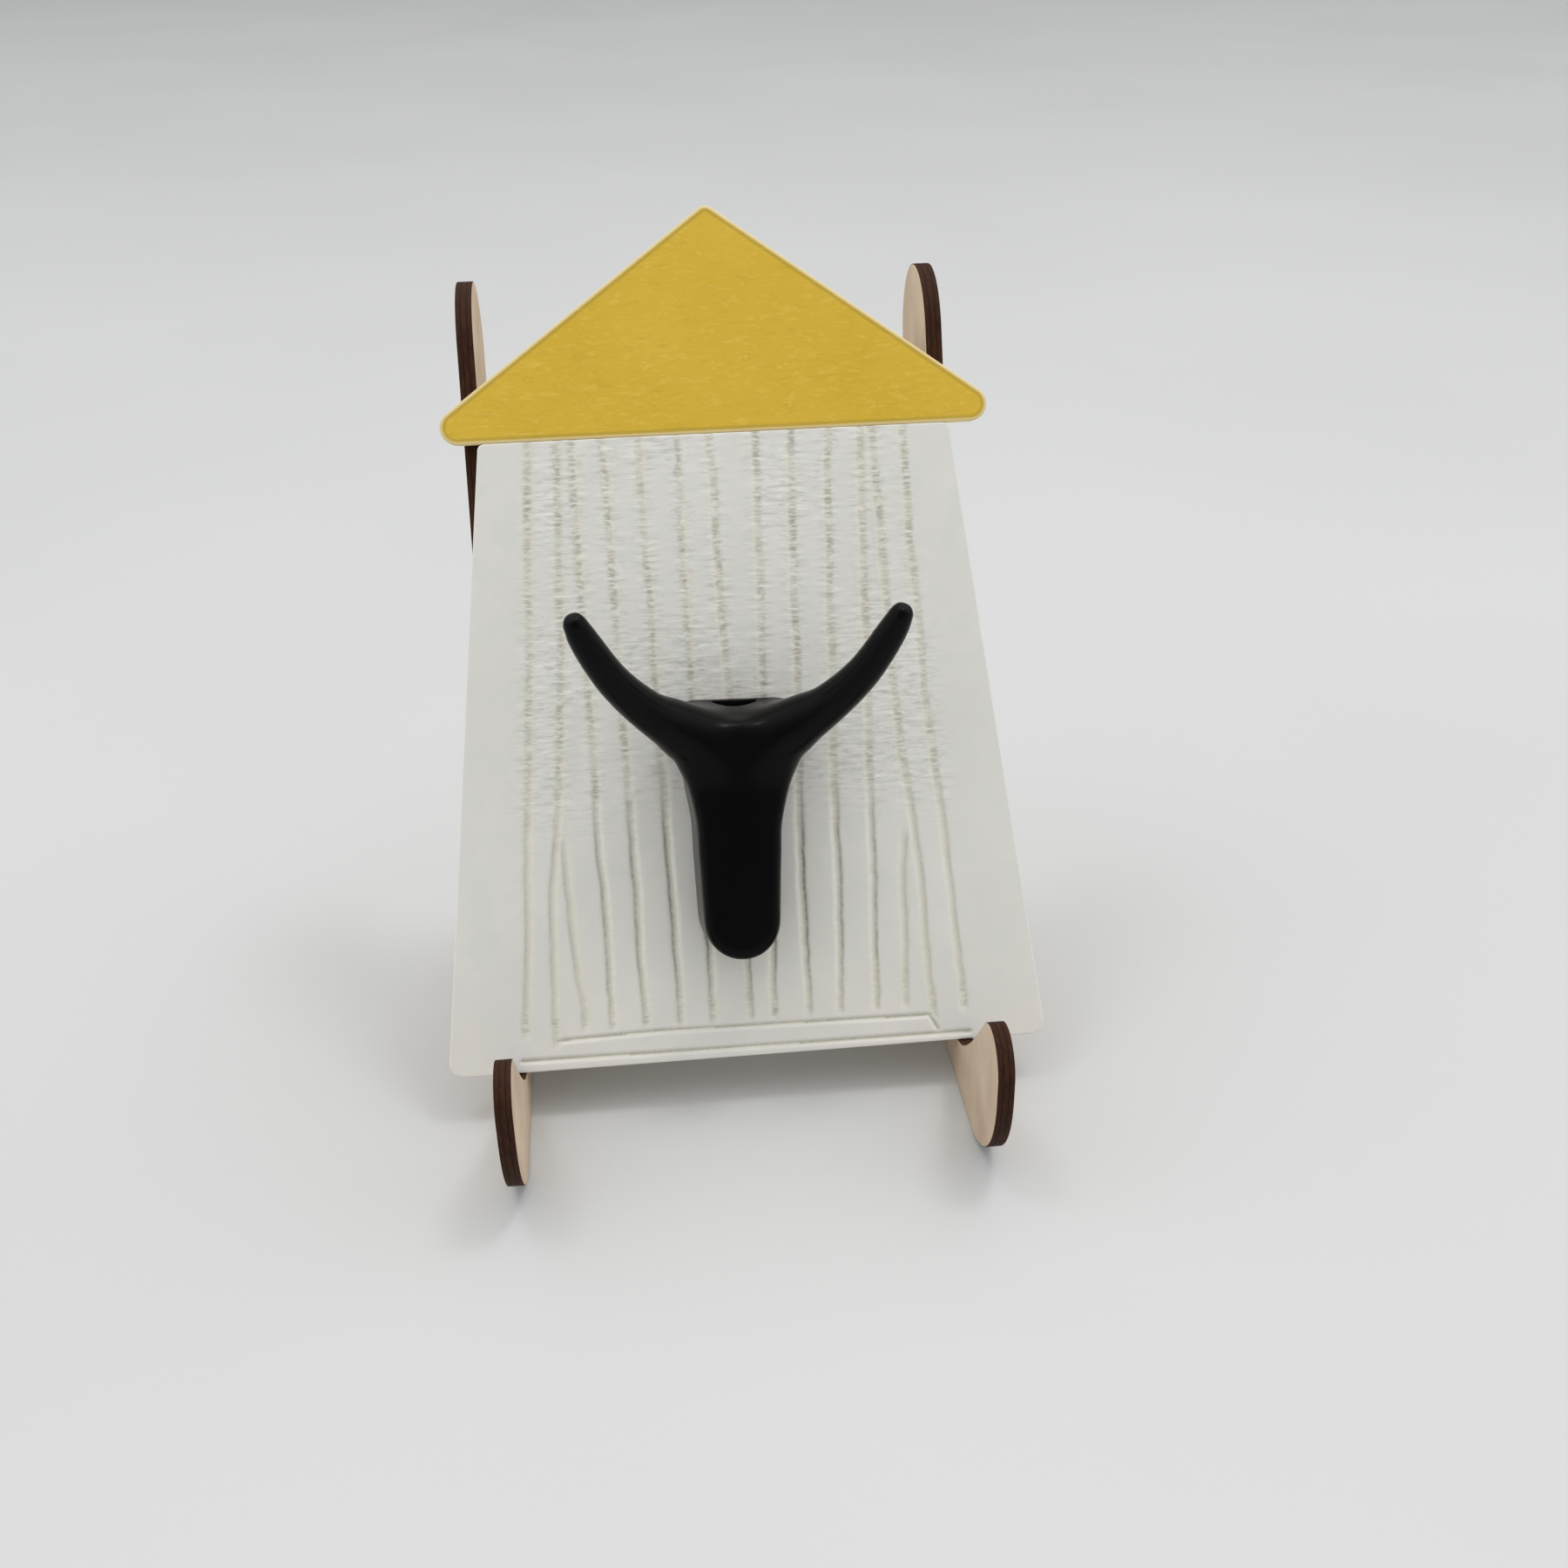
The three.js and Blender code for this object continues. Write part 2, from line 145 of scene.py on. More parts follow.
POCKET_FRONT = 5.4
POCKET_HEIGHT = 9.0
COARSE_DRAFT = 1.2         # the coarse hook only has to lie near the true one
COARSE_HEAD_DROP = 2.0
COARSE_HEAD_SINK = 6.0
VOXEL = 0.8
PULLS = 14                 # steps that draw the coarse hook onto its true surface
PROBE = 0.05               # how far off the surface's slope is measured
SMOOTHING_PASSES = 12

PLY_BEVEL = 0.18
SCORCH_WIDTH = 0.9

# ---- frames -------------------------------------------------------------------------------------

panel_low, panel_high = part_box("wall_panel")
HOUSE = Matrix((
    (1, 0, 0, (panel_low.x + panel_high.x) / 2),
    (0, math.cos(LEAN), -math.sin(LEAN), panel_low.y),
    (0, math.sin(LEAN), math.cos(LEAN), panel_low.z + PLATE * MM * math.cos(LEAN)),
    (0, 0, 0, 1),
))
HOOK = HOUSE @ Matrix.Translation((0, HOOK_ALONG * MM, 0)) @ Matrix.Rotation(HOOK_TWIST, 4, "Z")


# ---- node helpers -------------------------------------------------------------------------------

def srgb(r, g, b):
    """A colour given as 0-255 values."""
    def linear(c):
        c /= 255
        return c / 12.92 if c <= 0.04045 else ((c + 0.055) / 1.055) ** 2.4
    return (linear(r), linear(g), linear(b), 1.0)


class Nodes:
    """A material's node tree, with short ways to add what it needs."""

    def __init__(self, name, **shader_values):
        self.material = bpy.data.materials.new(name)
        self.material.use_nodes = True
        self.tree = self.material.node_tree
        self.shader = self.tree.nodes["Principled BSDF"]
        for socket, value in shader_values.items():
            self.shader.inputs[socket.replace("_", " ")].default_value = value

    def add(self, kind, inputs=None, **settings):
        node = self.tree.nodes.new(kind)
        for key, value in settings.items():
            setattr(node, key, value)
        for key, value in (inputs or {}).items():
            self.plug(value, node.inputs[key])
        return node

    def plug(self, value, socket):
        if isinstance(value, bpy.types.NodeSocket):
            self.tree.links.new(value, socket)
        else:
            socket.default_value = value

    def place(self, scale=(1, 1, 1), rotation=(0, 0, 0)):
        coordinates = self.add("ShaderNodeTexCoord")
        mapping = self.add("ShaderNodeMapping", {
            "Vector": coordinates.outputs["Object"], "Scale": scale, "Rotation": rotation,
        })
        return mapping.outputs["Vector"]

    def noise(self, vector, scale, detail=2.0, roughness=0.5, distortion=0.0):
        node = self.add("ShaderNodeTexNoise", {
            "Vector": vector, "Scale": scale, "Detail": detail,
            "Roughness": roughness, "Distortion": distortion,
        })
        return node.outputs["Fac"]

    def attribute(self, name):
        return self.add("ShaderNodeAttribute", attribute_name=name).outputs["Fac"]

    def math(self, operation, a, b=0.0):
        return self.add("ShaderNodeMath", {0: a, 1: b}, operation=operation).outputs[0]

    def remap(self, value, low, high, to_low=0.0, to_high=1.0):
        node = self.add("ShaderNodeMapRange", {
            "Value": value, "From Min": low, "From Max": high, "To Min": to_low, "To Max": to_high,
        })
        return node.outputs["Result"]

    def mix(self, factor, a, b):
        node = self.add("ShaderNodeMix", data_type="RGBA")
        self.plug(factor, node.inputs[0])
        self.plug(a, node.inputs[6])
        self.plug(b, node.inputs[7])
        return node.outputs[2]

    def bump(self, height, strength, distance, normal=None):
        node = self.add("ShaderNodeBump", {
            "Height": height, "Strength": strength, "Distance": distance,
        })
        if normal is not None:
            self.plug(normal, node.inputs["Normal"])
        return node.outputs["Normal"]

    def set(self, **sockets):
        for socket, value in sockets.items():
            self.plug(value, self.shader.inputs[socket.replace("_", " ")])
        return self.material


# ---- materials ----------------------------------------------------------------------------------

def white_board():
    n = Nodes("white_board", Roughness=0.62)
    at = n.place()
    cloud = n.noise(at, 45, 3)
    tint = n.noise(at, 130, 2)
    grain = n.noise(at, 2600, 3, 0.6)
    ticks = n.noise(n.place(scale=(0.28, 1, 1)), 1400, 2, 0.5, 0.5)
    stripes = n.noise(n.place(scale=(0.2, 1, 1), rotation=(0, 0, 0.06)), 1250, 2, 0.55, 0.6)
    tear, pucker = n.attribute("tear"), n.attribute("pucker")
    base = n.mix(n.remap(cloud, 0.35, 0.65), srgb(237, 234, 227), srgb(242, 239, 232))
    base = n.mix(n.remap(tint, 0.42, 0.62), base, srgb(236, 236, 229))
    shade = n.math("MULTIPLY", pucker, n.remap(stripes, 0.52, 0.68))
    base = n.mix(n.math("MULTIPLY", shade, 0.5), base, srgb(190, 188, 180))
    glint = n.math("MULTIPLY", pucker, n.remap(stripes, 0.46, 0.34))
    base = n.mix(n.math("MULTIPLY", glint, 0.5), base, srgb(255, 254, 250))
    base = n.mix(n.math("MULTIPLY", n.attribute("groove"), 0.6), base, srgb(234, 230, 210))
    # painted shade and painted highlights on the ticks of the torn lines
    dark = n.math("MULTIPLY", tear, n.remap(ticks, 0.44, 0.6, 0.12, 1))
    base = n.mix(n.math("MULTIPLY", dark, 0.66), base, srgb(158, 155, 142))
    spark = n.math("MULTIPLY", tear, n.remap(ticks, 0.44, 0.34))
    base = n.mix(n.math("MULTIPLY", spark, 0.6), base, srgb(255, 253, 246))
    # painted highlight on the lit wall of each pressed line
    painted_wall_highlight = n.math("MULTIPLY", n.attribute("painted_wall_highlight"), n.remap(ticks, 0.62, 0.4, 0.4, 1))
    base = n.mix(n.math("MULTIPLY", painted_wall_highlight, 0.6), base, srgb(254, 252, 245))
    # painted shade on the shaded wall of each pressed line, mottled
    mottle = n.remap(n.noise(at, 1100, 2), 0.35, 0.6, 0.6, 1)
    painted_wall_shade = n.math("MULTIPLY", n.attribute("painted_wall_shade"), mottle)
    base = n.mix(n.math("MULTIPLY", painted_wall_shade, 0.8), base, srgb(122, 120, 110))
    rough = n.remap(n.noise(at, 300, 2), 0.3, 0.7, 0.52, 0.7)
    wrinkle = n.math("ADD", n.math("MULTIPLY", stripes, pucker), n.math("MULTIPLY", ticks, tear))
    normal = n.bump(wrinkle, 0.6, 0.0002)
    return n.set(Base_Color=base, Roughness=rough, Normal=n.bump(grain, 0.22, 0.00015, normal))


def gold_board():
    n = Nodes("gold_board", Metallic=0.0, Specular_IOR_Level=0.35)
    strokes = []
    for angle, scale in ((-0.45, 620), (0.2, 800), (0.9, 700), (-1.1, 760)):
        at = n.place(scale=(0.3, 1, 1), rotation=(0, 0, angle))
        strokes.append(n.remap(n.noise(at, scale, 3, 0.6, 0.8), 0.58, 0.74))
    light = n.math("MAXIMUM", strokes[0], strokes[1])
    for stroke in strokes[2:]:
        light = n.math("MAXIMUM", light, stroke)
    dark_at = n.place(scale=(0.35, 1, 1), rotation=(0, 0, 0.3))
    dark = n.remap(n.noise(dark_at, 520, 3, 0.6, 0.8), 0.56, 0.74)
    cloud = n.noise(n.place(), 38, 3)
    base = n.mix(n.remap(cloud, 0.3, 0.7), srgb(226, 187, 54), srgb(233, 194, 64))
    base = n.mix(n.math("MULTIPLY", dark, 0.3), base, srgb(198, 160, 46))
    base = n.mix(n.math("MULTIPLY", light, 0.4), base, srgb(250, 219, 104))
    base = n.mix(n.math("MULTIPLY", n.attribute("rim"), 0.45), base, srgb(170, 146, 62))
    # painted highlight: the pale edge stands for light caught along the roof's edge
    base = n.mix(n.math("MULTIPLY", n.attribute("edge"), 0.6), base, srgb(244, 230, 190))
    rough = n.remap(light, 0, 1, 0.58, 0.44)
    return n.set(Base_Color=base, Roughness=rough, Normal=n.bump(light, 0.25, 0.00008))


def black_plastic():
    n = Nodes("black_plastic", Roughness=0.23, Specular_IOR_Level=0.1)
    at = n.place()
    fine = n.noise(at, 3500, 2)
    cloud = n.noise(at, 90, 3)
    base = n.mix(n.remap(cloud, 0.3, 0.7), (0.0012, 0.0012, 0.0013, 1), (0.0016, 0.0016, 0.0017, 1))
    rough = n.remap(cloud, 0.3, 0.7, 0.21, 0.26)
    return n.set(Base_Color=base, Roughness=rough, Normal=n.bump(fine, 0.08, 0.00005))


def birch_face():
    n = Nodes("birch_face", Roughness=0.7)
    at = n.place(scale=(1, 1, 0.12))
    streak = n.noise(at, 420, 4, 0.6, 0.6)
    fleck = n.remap(n.noise(n.place(scale=(1, 1, 0.2)), 2100, 2, 0.5), 0.6, 0.75)
    cloud = n.noise(n.place(), 40, 2)
    base = n.mix(n.remap(streak, 0.3, 0.7), srgb(246, 232, 208), srgb(236, 219, 192))
    base = n.mix(n.remap(cloud, 0.35, 0.7, 0, 0.25), base, srgb(248, 237, 216))
    base = n.mix(n.math("MULTIPLY", fleck, 0.3), base, srgb(196, 166, 128))
    scorch = n.math("MULTIPLY", n.attribute("rim"), n.remap(cloud, 0.3, 0.7, 0.25, 0.6))
    base = n.mix(scorch, base, srgb(150, 108, 72))
    height = n.math("ADD", streak, n.math("MULTIPLY", fleck, -0.4))
    return n.set(Base_Color=base, Normal=n.bump(height, 0.2, 0.00012))


def burnt_edge():
    n = Nodes("burnt_edge", Roughness=0.8, Specular_IOR_Level=0.15)
    across = n.attribute("across")
    wobble = n.math("MULTIPLY", n.math("SUBTRACT", n.noise(n.place(), 260, 3), 0.5), 0.14)
    depth = n.math("ADD", across, wobble)
    glue = n.math("ABSOLUTE", n.math("SUBTRACT", n.math("ABSOLUTE", depth), 0.36))
    glue = n.remap(glue, 0.02, 0.13, 1, 0)
    char = n.noise(n.place(scale=(1, 0.25, 0.25)), 1500, 3, 0.6)
    base = n.mix(n.remap(char, 0.3, 0.72), srgb(42, 23, 14), srgb(74, 45, 28))
    base = n.mix(n.math("MULTIPLY", glue, 0.75), base, srgb(26, 14, 10))
    rough = n.remap(char, 0.3, 0.7, 0.7, 0.9)
    return n.set(Base_Color=base, Roughness=rough, Normal=n.bump(char, 0.4, 0.0002))


def zinc_steel():
    n = Nodes("zinc_steel", Metallic=1.0, Roughness=0.32)
    at = n.place()
    cloud = n.noise(at, 700, 3)
    base = n.mix(n.remap(cloud, 0.3, 0.7), srgb(176, 178, 180), srgb(200, 202, 205))
    return n.set(Base_Color=base, Roughness=n.remap(cloud, 0.3, 0.7, 0.26, 0.42),
                 Normal=n.bump(cloud, 0.1, 0.00005))


def table_top():
    n = Nodes("table_top", Roughness=0.75)
    cloud = n.noise(n.place(), 3, 2)
    base = n.mix(n.remap(cloud, 0.3, 0.7), srgb(203, 204, 203), srgb(207, 208, 207))
    return n.set(Base_Color=base)


WHITE = white_board()
GOLD = gold_board()
BLACK = black_plastic()
BIRCH = birch_face()
BURNT = burnt_edge()
STEEL = zinc_steel()
TABLE = table_top()


# ---- mesh helpers -------------------------------------------------------------------------------

def new_object(name, mesh, materials, matrix=None):
    obj = bpy.data.objects.new(name, mesh)
    bpy.context.scene.collection.objects.link(obj)
    if matrix is not None:
        obj.matrix_world = matrix
    for material in materials:
        mesh.materials.append(material)
    return obj


def smooth_by_angle(mesh, degrees):
    for polygon in mesh.polygons:
        polygon.use_smooth = True
    mesh.set_sharp_from_angle(angle=math.radians(degrees))


def set_point_values(mesh, name, values):
    layer = mesh.attributes.new(name, "FLOAT", "POINT")
    layer.data.foreach_set("value", np.asarray(values, np.float32))


def piece(obj, body, slot, *nodes):
    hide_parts(*nodes)
    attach(obj, body)
    return obj


def rounded_outline(corners, steps):
    """Points round a convex outline given as (x, y, radius) corners, counterclockwise."""
    points = []
    count = len(corners)
    for i, (x, y, radius) in enumerate(corners):
        here = np.array((x, y))
        before = np.array(corners[i - 1][:2]) - here
        after = np.array(corners[(i + 1) % count][:2]) - here
        before = before / np.linalg.norm(before)
        after = after / np.linalg.norm(after)
        half = math.acos(before @ after) / 2
        middle = (before + after) / np.linalg.norm(before + after)
        centre = here + middle * radius / math.sin(half)
        start = here + before * radius / math.tan(half) - centre
        sweep = math.pi - 2 * half
        first = math.atan2(start[1], start[0])
        for k in range(steps + 1):
            angle = first + sweep * k / steps
            points.append(centre + radius * np.array((math.cos(angle), math.sin(angle))))
    return np.array(points)


def outward_normals(points):
    """Unit normals of a counterclockwise closed outline, at its points."""
    tangent = np.roll(points, -1, axis=0) - np.roll(points, 1, axis=0)
    normal = np.stack((tangent[:, 1], -tangent[:, 0]), axis=1)
    return normal / np.linalg.norm(normal, axis=1)[:, None]


class ValueNoise:
    """Smooth repeatable noise over the plane, from -1 to 1."""

    def __init__(self, seed):
        self.table = np.random.RandomState(seed).uniform(-1, 1, (256, 256))

    def __call__(self, x, y):
        xi = np.floor(x).astype(int)
        yi = np.floor(y).astype(int)
        fx = x - xi
        fy = y - yi
        fx = fx * fx * (3 - 2 * fx)
        fy = fy * fy * (3 - 2 * fy)

        def corner(i, j):
            return self.table[(xi + i) % 256, (yi + j) % 256]

        low = corner(0, 0) * (1 - fx) + corner(1, 0) * fx
        high = corner(0, 1) * (1 - fx) + corner(1, 1) * fx
        return low * (1 - fy) + high * fy


def smoothstep(value, low, high):
    t = np.clip((value - low) / (high - low), 0, 1)
    return t * t * (3 - 2 * t)


# ---- the wall panel -----------------------------------------------------------------------------

PANEL_COLUMNS = 560
PANEL_ROWS = 380
EDGE_BEVEL = 0.3
OUTLINE_EASE = 0.003       # keeps the eased outline just inside the board's own
EDGE_STEPS = 3
SIDE_TILT = math.atan((PANEL_HALF_FOOT - PANEL_HALF_TOP) / PANEL_LENGTH)


def panel_half_width(v, inset):
    """Half the panel's width at height v, with the whole outline taken in by inset."""
    def side(height):
        share = height / PANEL_LENGTH
        line = PANEL_HALF_FOOT + (PANEL_HALF_TOP - PANEL_HALF_FOOT) * share
        return line - inset / math.cos(SIDE_TILT)

    def arc_centre(height, radius):
        return side(height) - radius / math.cos(SIDE_TILT)

    low_radius = PANEL_FOOT_RADIUS - inset
    high_radius = PANEL_TOP_RADIUS - inset
    low_centre = inset + low_radius
    high_centre = PANEL_LENGTH - inset - high_radius
    low_end = low_centre + low_radius * math.sin(SIDE_TILT)
    high_start = high_centre + high_radius * math.sin(SIDE_TILT)
    low_arc = np.sqrt(np.clip(low_radius ** 2 - (v - low_centre) ** 2, 0, None))
    high_arc = np.sqrt(np.clip(high_radius ** 2 - (v - high_centre) ** 2, 0, None))
    width = np.where(v < low_end, arc_centre(low_centre, low_radius) + low_arc, side(v))
    return np.where(v > high_start, arc_centre(high_centre, high_radius) + high_arc, width)


def panel_relief(u, v):
    """Height of the pressed face over its plane, and the shares of its colours.

    groove is a pressed line's floor, the two wall shares are the painted shade and the painted highlight
    on its two sides, tear is where the line is torn, high up and near its foot, and pucker is the wrinkled
    board.
    """
    drift = ValueNoise(3)
    ripple = ValueNoise(5)
    patch = ValueNoise(7)
    rough = smoothstep(v, PUCKER_FROM, PUCKER_FULL)
    # painted shade: the lines' painted shade is deepened near the hook, where the black hook keeps light off
    hook_shade_boost = np.exp(-((u - 1) / 21) ** 2) * smoothstep(v, 12, 34) * (1 - smoothstep(v, 84, 108))
    shares = {name: np.zeros_like(u) for name in ("groove", "painted_wall_shade", "painted_wall_highlight", "tear", "pucker")}
    depth = np.zeros_like(u)

    def lay(name, share):
        shares[name] = np.maximum(shares[name], share)

    for i, line in enumerate(PLANK_LINES):
        heights = np.array([p[0] for p in line][::-1], float)
        sideways = np.array([p[1] for p in line][::-1], float)
        key = np.full_like(v, 17.0 * i)
        side = -1 if sideways.mean() < -1.5 else 1
        centre = np.interp(v, heights, sideways)
        centre = centre + 0.3 * drift(v * 0.07, key) + 0.14 * drift(v * 0.35, key + 5)
        foot = min(heights[0], LINE_FOOT)
        run = smoothstep(v, foot - 1.2, foot + 1.5)
        if heights[-1] < PANEL_LENGTH:
            run = run * (1 - smoothstep(v, heights[-1] - 4, heights[-1]))
        outwards = (u - centre) * side
        half = LINE_HALF_WIDTH * (1 + 0.15 * drift(v * 0.18, key + 9))
        gate = 0.5 + 0.5 * ripple(v * 0.25, key + 3)
        torn = np.clip(rough + 0.9 * gate * (1 - smoothstep(v, LINE_FOOT, 26)), 0, 1)
        faint = 0.55 if abs(sideways.mean()) > OUTER_LINES else 1.0
        trench = np.exp(-np.abs(outwards / half) ** 3)
        depth = np.maximum(depth, trench * run * LINE_DEPTH * (1 - 0.65 * rough))
        lay("groove", np.exp(-np.abs((outwards + 0.15) / (half * 1.3)) ** 4) * run)
        soft = 0.3 * np.exp(-((outwards - 0.4) / 0.6) ** 2)
        sharp = (0.25 + 0.3 * gate + 0.8 * hook_shade_boost) * np.exp(-((outwards - WALL_SHADE_OFFSET) / 0.3) ** 2)
        lay("painted_wall_shade", run * faint * (1 - torn) * np.clip(soft + sharp, 0, 1))
        lay("painted_wall_highlight", run * faint * np.exp(-((outwards + WALL_HIGHLIGHT_OFFSET) / 0.55) ** 2) * (1 - 0.4 * torn))
        lay("tear", run * torn * (0.25 + 0.75 * gate) * np.exp(-np.abs((outwards - 0.25) / 1.0) ** 3))
        lay("pucker", run * rough * np.exp(-(outwards / PUCKER_REACH) ** 2))
    for line in RAIL_LINES:
        ends = np.array(line, float)
        for (x0, y0), (x1, y1) in zip(ends[:-1], ends[1:]):
            run = np.array((x1 - x0, y1 - y0))
            t = np.clip(((u - x0) * run[0] + (v - y0) * run[1]) / (run @ run), 0, 1)
            across = v - y0 - t * run[1]
            away = np.hypot(u - x0 - t * run[0], across)
            trench = np.exp(-(away / RAIL_HALF_WIDTH) ** 4)
            depth = np.maximum(depth, trench * LINE_DEPTH)
            lay("groove", trench)
            # painted shade and painted highlight on the rail line's two walls
            lay("painted_wall_shade", 0.6 * np.exp(-(away / 0.5) ** 2) * (across > -0.1))
            lay("painted_wall_highlight", 0.9 * np.exp(-((away - RAIL_HIGHLIGHT_OFFSET) / 0.4) ** 2) * (across < 0))
    field = 0.6 * rough * smoothstep(patch(u * 0.06, v * 0.05), -0.3, 0.4)
    border = smoothstep(panel_half_width(v, 0) - np.abs(u), 8, 18)
    shares["pucker"] = np.clip(shares["pucker"] + field, 0, 1) * border
    wave = ripple(u * 0.3, v * 1.25) * shares["pucker"]
    relief = 0.05 * drift(u * 0.06 + 9, v * 0.06) + 0.09 * wave - depth
    return np.clip(relief, -0.6, 0.1), shares


def wall_panel():
    inset = EDGE_BEVEL
    rise = np.linspace(0, 1, PANEL_ROWS)
    rise = rise - 0.012 * np.sin(2 * math.pi * rise)
    v_rows = inset + rise * (PANEL_LENGTH - 2 * inset)
    across = np.linspace(-1, 1, PANEL_COLUMNS)
    v = np.repeat(v_rows[:, None], PANEL_COLUMNS, axis=1)
    u = across[None, :] * (panel_half_width(v_rows, inset) - OUTLINE_EASE)[:, None]
    relief, shares = panel_relief(u, v)
    index = np.arange(v.size).reshape(v.shape)
    rim = np.concatenate((index[0, :-1], index[:-1, -1], index[-1, :0:-1], index[:0:-1, 0]))
    flat = np.stack((u.ravel(), v.ravel()), axis=1)
    outline = flat[rim]
    outward = outward_normals(outline)
    height = relief.ravel()[rim]
    vertices = [np.column_stack((flat, relief.ravel()))]
    loops = [rim]

    def ring(out, level):
        base = sum(len(part) for part in vertices)
        vertices.append(np.column_stack((outline + outward * out, level)))
        loops.append(np.arange(len(rim)) + base)

    for k in range(1, EDGE_STEPS + 1):
        angle = math.pi / 2 * k / EDGE_STEPS
        ring(inset * math.sin(angle), height - inset * (1 - math.cos(angle)))
    for k in range(EDGE_STEPS + 1):
        angle = math.pi / 2 * k / EDGE_STEPS
        ring(inset * math.cos(angle), np.full(len(rim), -PLATE + inset * (1 - math.sin(angle))))
    faces = np.stack((index[:-1, :-1], index[:-1, 1:], index[1:, 1:], index[1:, :-1]), axis=-1).reshape(-1, 4)
    sides = [
        np.stack((a, b, np.roll(b, -1), np.roll(a, -1)), axis=-1)
        for a, b in zip(loops[:-1], loops[1:])
    ]
    mesh = bpy.data.meshes.new("wall_panel_visual")
    points = np.concatenate(vertices) * MM
    quads = np.concatenate([faces] + sides)
    mesh.from_pydata(points.tolist(), [], quads.tolist() + [loops[-1][::-1].tolist()])
    mesh.update()
    for name, share in shares.items():
        values = np.zeros(len(points))
        values[:share.size] = share.ravel()
        for k in range(1, EDGE_STEPS + 1):
            values[loops[k]] = share.ravel()[rim] * 0.5
        set_point_values(mesh, name, values)
    smooth_by_angle(mesh, 50)
    obj = new_object("wall_panel_board", mesh, [WHITE], HOUSE)
    return piece(obj, "house", "white_board", "wall_panel")


# ---- the roof plate -----------------------------------------------------------------------------

SEAM_CLOSING = 0.27        # the roof's foot comes down almost to the panel's top edge


def roof_plate():
    foot = PANEL_LENGTH + FIT_GAP
    corners = [
        (ROOF_SHIFT - ROOF_HALF_WIDTH, foot - SEAM_CLOSING, EAVE_RADIUS),
        (ROOF_SHIFT + ROOF_HALF_WIDTH, foot - SEAM_CLOSING, EAVE_RADIUS),
        (ROOF_SHIFT, foot + ROOF_HEIGHT, APEX_RADIUS),
    ]
    outline = rounded_outline(corners, 16)
    outward = outward_normals(outline)
    # each step round the edge: how far out, how high, share of the olive rim, share of the pale edge (a
    # painted highlight)
    profile = [(-1.7, 0, 0, 0), (-1.2, 0, 1, 0), (-0.85, 0, 1, 0), (-0.5, 0, 0, 1)]
    for k in range(1, EDGE_STEPS + 1):
        angle = math.pi / 2 * k / EDGE_STEPS
        profile.append((-EDGE_BEVEL * (1 - math.sin(angle)), -EDGE_BEVEL * (1 - math.cos(angle)), 0, 1))
    for k in range(EDGE_STEPS + 1):
        angle = math.pi / 2 * k / EDGE_STEPS
        level = -PLATE + EDGE_BEVEL * (1 - math.sin(angle))
        profile.append((-EDGE_BEVEL * (1 - math.cos(angle)), level, 0, 1))
    profile.append((-1.6, -PLATE, 0, 0))
    count = len(outline)
    points, rim, edge, faces = [], [], [], []
    for out, level, rim_share, edge_share in profile:
        flat = outline + outward * out
        points += [(x * MM, y * MM, level * MM) for x, y in flat]
        rim += [rim_share] * count
        edge += [edge_share] * count
    for r in range(len(profile) - 1):
        for i in range(count):
            j = (i + 1) % count
            a, b = r * count, (r + 1) * count
            faces.append((a + i, b + i, b + j, a + j))
    faces.append(tuple(range(count)))
    faces.append(tuple(reversed(range((len(profile) - 1) * count, len(profile) * count))))
    mesh = bpy.data.meshes.new("roof_plate_visual")
    mesh.from_pydata(points, [], faces)
    mesh.update()
    set_point_values(mesh, "rim", rim)
    set_point_values(mesh, "edge", edge)
    smooth_by_angle(mesh, 50)
    obj = new_object("roof_plate_board", mesh, [GOLD], HOUSE)
    return piece(obj, "house", "gold_board", "roof_plate")


# ---- the hook -----------------------------------------------------------------------------------

def met(depths, radius):
    """Depth inside the meeting of several depths, with its edges rounded."""
    short = radius - np.stack(depths, axis=1)
    outside = np.linalg.norm(np.clip(short, 0, None), axis=1)
    return radius - outside - np.minimum(short.max(axis=1), 0)


def blended(a, b, reach):
    """Two depths run together with a soft fillet between the two shapes."""
    h = np.clip(reach - np.abs(a - b), 0, None) / reach
    return np.maximum(a, b) + h * h * reach / 4


def smoothed(stations):
    """A bar's stations with the points of a smooth curve put in between them."""
    rows = np.array(stations, float)
    padded = np.vstack((2 * rows[0] - rows[1], rows, 2 * rows[-1] - rows[-2]))
    points = []
    for i in range(len(rows) - 1):
        a, b, c, d = padded[i:i + 4]
        for t in np.arange(CURVE_STEPS) / CURVE_STEPS:
            square = (2 * a - 5 * b + 4 * c - d) * t ** 2
            cube = (3 * b - a - 3 * c + d) * t ** 3
            points.append((2 * b + (c - a) * t + square + cube) / 2)
    return np.array(points + [rows[-1]])


def inside_bar(p, stations):
    """Depth inside a tapering bar whose stations hold its middle's coordinates, then its radius."""
    best = np.full(len(p), -1e9)
    for a, b in zip(stations[:-1], stations[1:]):
        run = b[:-1] - a[:-1]
        t = np.clip((p - a[:-1]) @ run / (run @ run), 0, 1)
        away = np.linalg.norm(p - a[:-1] - t[:, None] * run, axis=1)
        best = np.maximum(best, a[-1] + (b[-1] - a[-1]) * t - away)
    return best


ARM = smoothed(ARM_STATIONS)
TRUNK = smoothed(TRUNK_STATIONS)


def inside_arm(p):
    tip = ARM[-1][:3]
    outwards = tip - ARM[-2][:3]
    outwards = outwards / np.linalg.norm(outwards)
    return met([inside_bar(p, ARM), ARM_TIP - (p - tip) @ outwards], ARM_TIP_RADIUS)


